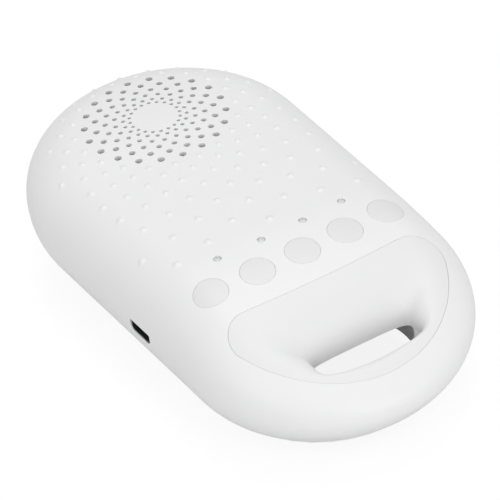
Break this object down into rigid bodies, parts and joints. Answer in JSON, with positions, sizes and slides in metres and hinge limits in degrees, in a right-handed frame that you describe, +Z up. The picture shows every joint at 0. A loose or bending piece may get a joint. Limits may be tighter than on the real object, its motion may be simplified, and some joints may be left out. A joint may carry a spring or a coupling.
{
  "type": "white noise sound machine",
  "caption": "Pillow-shaped portable sound machine with a round speaker grille, an arc of flush buttons, indicator lights, a side charging socket and a finger slot through the handle end.",
  "frame": {"origin": "on the table under the middle of the body, the centre of the bounding box's bottom face", "axes": "+Z up, +Y towards the speaker end, +X to the right seen from the handle end; the charging socket is on the -X side"},
  "size_m": [0.0676, 0.1264, 0.034],
  "materials": {
    "shell_plastic": "fine satin moulding",
    "panel_plastic": "fine satin moulding",
    "button_plastic": "fine satin moulding",
    "light_plastic": "translucent grey plastic",
    "mesh_cloth": "woven dust mesh",
    "foam": "closed foam ring",
    "frame_steel": "pressed plated sheet",
    "surround_rubber": "smooth rubber roll",
    "cone_paper": "pressed paper",
    "coil_copper": "wound enamelled wire",
    "spider_cloth": "resin-stiffened cloth",
    "magnet_ferrite": "ground ferrite",
    "contact_brass": "plated contacts",
    "circuit_board": "solder mask",
    "black_plastic": "moulded black plastic",
    "light_chip": "small light packages",
    "capacitor_can": "drawn cans",
    "plug_plastic": "natural nylon",
    "battery_foil": "foil pouch",
    "pad_foam": "adhesive foam",
    "lead_red": "insulated lead",
    "lead_black": "insulated lead",
    "foot_rubber": "soft rubber",
    "screw_steel": "plated steel"
  },
  "bodies": {
    "sound_machine_body": {"housing": "shell_plastic", "bottom_cover": "shell_plastic", "handle_liner": "panel_plastic", "handle_scoop": "panel_plastic", "light_guides": "light_plastic", "speaker_mesh": "mesh_cloth", "speaker_gasket": "foam", "speaker_basket": "frame_steel", "speaker_surround": "surround_rubber", "speaker_spider": "spider_cloth", "speaker_top_plate": "frame_steel", "speaker_magnet": "magnet_ferrite", "speaker_yoke": "frame_steel", "speaker_terminals": "contact_brass", "key_board": "circuit_board", "key_switches": "black_plastic", "indicator_leds": "light_chip", "pin_header": "black_plastic", "main_board": "circuit_board", "charging_socket": "black_plastic", "board_chips": "black_plastic", "capacitors": "capacitor_can", "battery_connector": "plug_plastic", "speaker_connector": "plug_plastic", "battery": "battery_foil", "battery_pad": "pad_foam", "battery_leads": "lead_red", "speaker_leads": "lead_black", "rubber_feet": "foot_rubber", "cover_screws": "screw_steel", "scoop_screws": "screw_steel", "speaker_screws": "screw_steel", "key_board_screws": "screw_steel", "main_board_screws": "screw_steel"},
    "power_button": {"button_power": "button_plastic"},
    "volume_down_button": {"button_volume_down": "button_plastic"},
    "volume_up_button": {"button_volume_up": "button_plastic"},
    "sound_button": {"button_sound": "button_plastic"},
    "timer_button": {"button_timer": "button_plastic"},
    "speaker_diaphragm": {"speaker_cone": "cone_paper", "dust_cap": "cone_paper", "voice_coil": "coil_copper"}
  },
  "joints": [
    {"name": "power_press", "type": "slide", "parent": "sound_machine_body", "child": "power_button", "axis": [0, 0, -1], "range_m": [0, 0.00025], "stiffness_N_per_m": 1000},
    {"name": "volume_down_press", "type": "slide", "parent": "sound_machine_body", "child": "volume_down_button", "axis": [0, 0, -1], "range_m": [0, 0.00025], "stiffness_N_per_m": 1000},
    {"name": "volume_up_press", "type": "slide", "parent": "sound_machine_body", "child": "volume_up_button", "axis": [0, 0, -1], "range_m": [0, 0.00025], "stiffness_N_per_m": 1000},
    {"name": "sound_press", "type": "slide", "parent": "sound_machine_body", "child": "sound_button", "axis": [0, 0, -1], "range_m": [0, 0.00025], "stiffness_N_per_m": 1000},
    {"name": "timer_press", "type": "slide", "parent": "sound_machine_body", "child": "timer_button", "axis": [0, 0, -1], "range_m": [0, 0.00025], "stiffness_N_per_m": 1000},
    {"name": "diaphragm_travel", "type": "slide", "parent": "sound_machine_body", "child": "speaker_diaphragm", "axis": [0, 0, 1], "range_m": [-0.0004, 0.0004], "stiffness_N_per_m": 1500}
  ]
}
